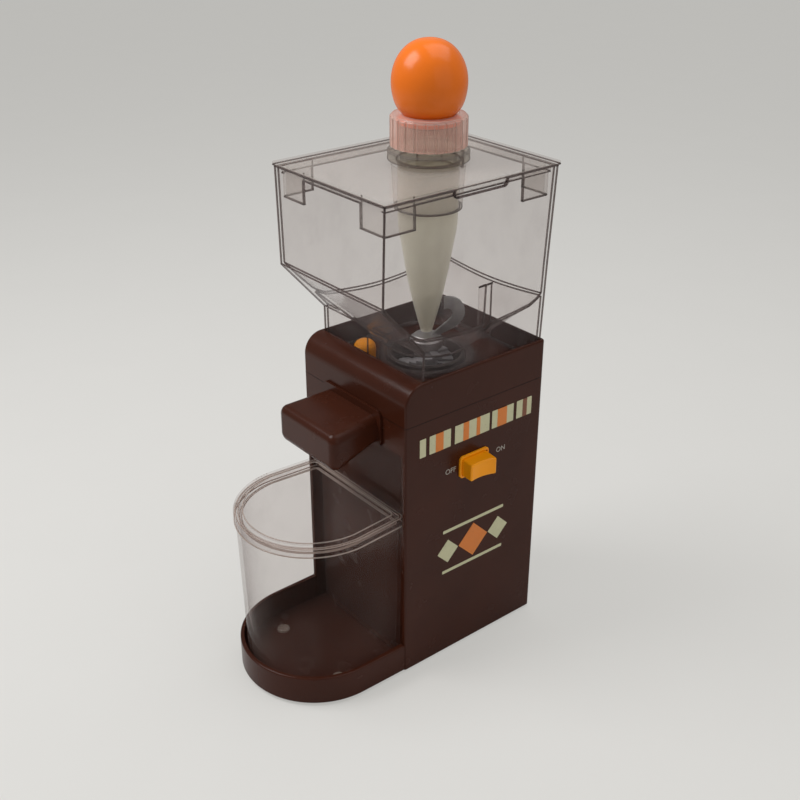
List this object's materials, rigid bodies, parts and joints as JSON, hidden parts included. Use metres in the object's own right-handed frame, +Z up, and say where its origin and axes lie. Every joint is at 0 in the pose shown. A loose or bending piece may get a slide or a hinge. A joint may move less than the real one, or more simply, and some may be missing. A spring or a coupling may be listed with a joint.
{
  "type": "electric peanut grinder",
  "caption": "Upright electric peanut grinder with a clear hopper, a squeeze-bulb oil dropper in its lid, a front spout and a D-shaped jar on a tray.",
  "frame": {"origin": "centre of the whole object's box, on the surface it stands on", "axes": "+Z up, -Y towards the spout and jar, +X towards the switch panel"},
  "size_m": [0.107, 0.1834, 0.3574],
  "materials": {
    "brown_plastic": "glossy moulded ABS, dark red-brown",
    "clear_plastic": "clear smoke-tinted polystyrene, polished",
    "frosted_plastic": "frosted translucent polyethylene",
    "orange_rubber": "smooth silicone rubber",
    "orange_plastic": "semi-gloss moulded plastic",
    "black_rubber": "matt rubber",
    "dark_plastic": "moulded nylon",
    "grey_plastic": "moulded acetal",
    "hook_metal": "cast, satin",
    "steel": "turned or pressed steel",
    "white_plastic": "moulded acetal gears",
    "bronze": "sintered bronze",
    "magnet": "ferrite",
    "board_green": "circuit board"
  },
  "bodies": {
    "housing": {"lower_housing": "brown_plastic", "upper_housing": "brown_plastic", "base_tray": "brown_plastic", "rubber_feet": "black_rubber", "tray_pads": "clear_plastic", "discharge_chute": "dark_plastic", "grinding_chamber": "dark_plastic", "chamber_seal": "black_rubber", "shaft_bush": "bronze", "burr_ring": "steel", "layshaft": "steel", "gearbox_tub": "grey_plastic", "gearbox_plate": "steel", "plate_bush": "bronze", "motor_can": "steel", "motor_end_cap": "dark_plastic", "motor_magnets": "magnet", "switch_frame": "orange_plastic", "switch_base": "dark_plastic", "cord_gland": "black_rubber", "rectifier_board": "board_green", "button_spring": "steel", "button_bracket": "dark_plastic", "base_screws": "steel", "seam_screws": "steel", "pillar_screws": "steel", "gearbox_screws": "steel"},
    "grinder": {"burr_cone": "steel", "feed_auger": "grey_plastic", "agitator_hook": "hook_metal", "drive_shaft": "steel", "output_gear": "white_plastic"},
    "layshaft_cluster": {"layshaft_gear": "white_plastic"},
    "motor_rotor": {"motor_armature": "steel", "motor_pinion": "steel", "cooling_fan": "dark_plastic"},
    "rocker": {"rocker_cap": "orange_plastic"},
    "button": {"release_button": "orange_plastic"},
    "spout": {"spout_cover": "brown_plastic"},
    "jar": {"jar": "clear_plastic"},
    "jar_lid": {"jar_lid": "clear_plastic"},
    "hopper": {"hopper": "clear_plastic"},
    "hopper_lid": {"hopper_lid": "clear_plastic"},
    "dropper": {"dropper_vial": "frosted_plastic"},
    "dropper_cap": {"dropper_collar": "clear_plastic", "dropper_bulb": "orange_rubber"}
  },
  "joints": [
    {"name": "grinder_spin", "type": "hinge", "parent": "housing", "child": "grinder", "pos_m": [-0.00488, 0.03885, 0.17], "axis": [0, 0, 1], "continuous": true},
    {"name": "layshaft_spin", "type": "hinge", "parent": "housing", "child": "layshaft_cluster", "pos_m": [-0.00488, 0.06285, 0.125], "axis": [0, 0, 1], "continuous": true},
    {"name": "motor_spin", "type": "hinge", "parent": "housing", "child": "motor_rotor", "pos_m": [-0.00488, 0.03885, 0.08], "axis": [0, 0, 1], "continuous": true},
    {"name": "rocker_tilt", "type": "hinge", "parent": "housing", "child": "rocker", "pos_m": [0.04017, 0.03535, 0.128], "axis": [0, 0, 1], "range_deg": [0, 12]},
    {"name": "button_press", "type": "slide", "parent": "housing", "child": "button", "axis": [0, 0, -1], "range_m": [0, 0.003], "stiffness_N_per_m": 300, "springref_m": -0.002, "deforming": ["button_spring"]},
    {"name": "spout_pull", "type": "slide", "parent": "housing", "child": "spout", "axis": [0, -1, 0], "range_m": [0, 0.03]},
    {"name": "jar_lift", "type": "slide", "parent": "housing", "child": "jar", "axis": [0, 0, 1], "range_m": [0, 0.016]},
    {"name": "jar_lid_lift", "type": "slide", "parent": "jar", "child": "jar_lid", "axis": [0, 0, 1], "range_m": [0, 0.011]},
    {"name": "hopper_lift", "type": "slide", "parent": "housing", "child": "hopper", "axis": [0, 0, 1], "range_m": [0, 0.06]},
    {"name": "hopper_lid_lift", "type": "slide", "parent": "hopper", "child": "hopper_lid", "axis": [0, 0, 1], "range_m": [0, 0.06]},
    {"name": "dropper_lift", "type": "slide", "parent": "hopper_lid", "child": "dropper", "axis": [0, 0, 1], "range_m": [0, 0.11]},
    {"name": "dropper_cap_turn", "type": "hinge", "parent": "dropper", "child": "dropper_cap", "pos_m": [-0.00488, 0.03885, 0.305], "axis": [0, 0, 1], "range_deg": [0, 450]}
  ],
  "couplings": [
    {"joint": "layshaft_spin", "follows": "grinder_spin", "ratio": -4},
    {"joint": "motor_spin", "follows": "grinder_spin", "ratio": 16}
  ]
}
